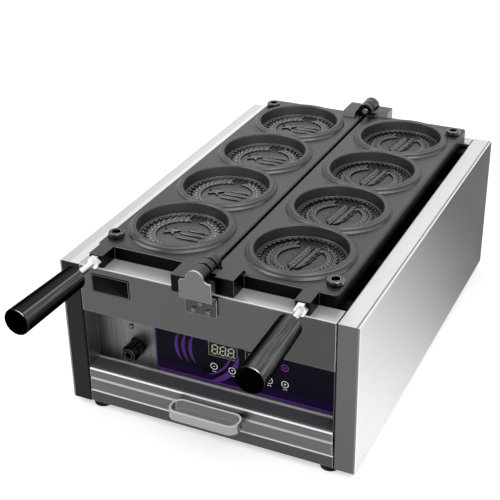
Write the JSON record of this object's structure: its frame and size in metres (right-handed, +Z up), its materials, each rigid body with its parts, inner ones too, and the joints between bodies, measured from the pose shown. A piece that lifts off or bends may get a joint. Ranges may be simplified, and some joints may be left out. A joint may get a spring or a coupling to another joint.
{
  "type": "coin waffle maker",
  "caption": "Countertop waffle maker with two hinged moulds of round coin-shaped cups over a steel cabinet, long handles, sunk digital controls and a drip drawer.",
  "frame": {"origin": "centre of the overall bounding box on the plane the rubber feet stand on", "axes": "+X to the right seen from the controls, +Y towards the back, +Z up"},
  "size_m": [0.363, 0.6824, 0.2301],
  "materials": {
    "stainless": "brushed",
    "bracket_steel": "satin",
    "mould_coating": "dark non-stick coating",
    "bright_screw": "polished",
    "dark_screw": "blackened",
    "rod_steel": "satin",
    "grip_black": "glossy",
    "rubber_black": "matte",
    "overlay_film": "semi-gloss",
    "display_window": "glossy",
    "key_plastic": "semi-gloss",
    "board_green": "satin",
    "relay_black": "satin",
    "terminal_white": "satin",
    "gland_black": "satin",
    "element_steel": "heat-darkened",
    "probe_steel": "satin",
    "standoff_brass": "satin"
  },
  "bodies": {
    "cabinet": {"back_panel": "stainless", "back_panel_screws": "bright_screw", "base_pan": "stainless", "board_standoffs": "standoff_brass", "bracket_screws": "bright_screw", "bulkhead": "stainless", "cable_gland": "gland_black", "control_board": "board_green", "display_left": "display_window", "display_right": "display_window", "drawer_runners": "stainless", "element_bars": "stainless", "element_straps": "stainless", "foot_screws": "bright_screw", "front_fascia": "stainless", "gland_dome_nut": "gland_black", "gland_locknut": "gland_black", "heat_shield": "stainless", "heating_element_left": "element_steel", "heating_element_right": "element_steel", "hinge_bracket_front": "bracket_steel", "hinge_bracket_rear": "bracket_steel", "hinge_pin_front": "rod_steel", "hinge_pin_rear": "rod_steel", "overlay_panel": "overlay_film", "power_relays": "relay_black", "rear_ledge": "stainless", "recess_panel": "stainless", "recess_screw": "bright_screw", "rest_rails": "stainless", "rubber_feet": "rubber_black", "side_cover_left": "stainless", "side_cover_right": "stainless", "side_frame_left": "stainless", "side_frame_right": "stainless", "temperature_probes": "probe_steel", "terminal_block": "terminal_white", "thermal_cutout": "terminal_white"},
    "mould_half_left": {"mould_left": "mould_coating", "levelling_screws_left": "dark_screw", "handle_rod_left": "rod_steel", "handle_nut_left": "dark_screw", "grip_left": "grip_black"},
    "mould_half_right": {"mould_right": "mould_coating", "levelling_screws_right": "dark_screw", "handle_rod_right": "rod_steel", "handle_nut_right": "dark_screw", "grip_right": "grip_black"},
    "drip_drawer": {"drawer_tray": "stainless", "drawer_front": "stainless", "drawer_handle": "stainless", "drawer_handle_screws": "bright_screw"},
    "key_cap_1": {"key_1": "key_plastic"},
    "key_cap_2": {"key_2": "key_plastic"},
    "key_cap_3": {"key_3": "key_plastic"},
    "key_cap_4": {"key_4": "key_plastic"},
    "key_cap_5": {"key_5": "key_plastic"},
    "key_cap_6": {"key_6": "key_plastic"}
  },
  "joints": [
    {"name": "mould_left_hinge", "type": "hinge", "parent": "cabinet", "child": "mould_half_left", "pos_m": [0, 0.0442, 0.21915], "axis": [0, 1, 0], "range_deg": [0, 180]},
    {"name": "mould_right_hinge", "type": "hinge", "parent": "cabinet", "child": "mould_half_right", "pos_m": [0, 0.0442, 0.21915], "axis": [0, -1, 0], "range_deg": [0, 180]},
    {"name": "drawer_slide", "type": "slide", "parent": "cabinet", "child": "drip_drawer", "axis": [0, -1, 0], "range_m": [0, 0.4]},
    {"name": "key_1_press", "type": "slide", "parent": "cabinet", "child": "key_cap_1", "axis": [0, 1, 0], "range_m": [0, 0.0004], "stiffness_N_per_m": 400, "springref_m": -0.0008},
    {"name": "key_2_press", "type": "slide", "parent": "cabinet", "child": "key_cap_2", "axis": [0, 1, 0], "range_m": [0, 0.0004], "stiffness_N_per_m": 400, "springref_m": -0.0008},
    {"name": "key_3_press", "type": "slide", "parent": "cabinet", "child": "key_cap_3", "axis": [0, 1, 0], "range_m": [0, 0.0004], "stiffness_N_per_m": 400, "springref_m": -0.0008},
    {"name": "key_4_press", "type": "slide", "parent": "cabinet", "child": "key_cap_4", "axis": [0, 1, 0], "range_m": [0, 0.0004], "stiffness_N_per_m": 400, "springref_m": -0.0008},
    {"name": "key_5_press", "type": "slide", "parent": "cabinet", "child": "key_cap_5", "axis": [0, 1, 0], "range_m": [0, 0.0004], "stiffness_N_per_m": 400, "springref_m": -0.0008},
    {"name": "key_6_press", "type": "slide", "parent": "cabinet", "child": "key_cap_6", "axis": [0, 1, 0], "range_m": [0, 0.0004], "stiffness_N_per_m": 400, "springref_m": -0.0008}
  ]
}
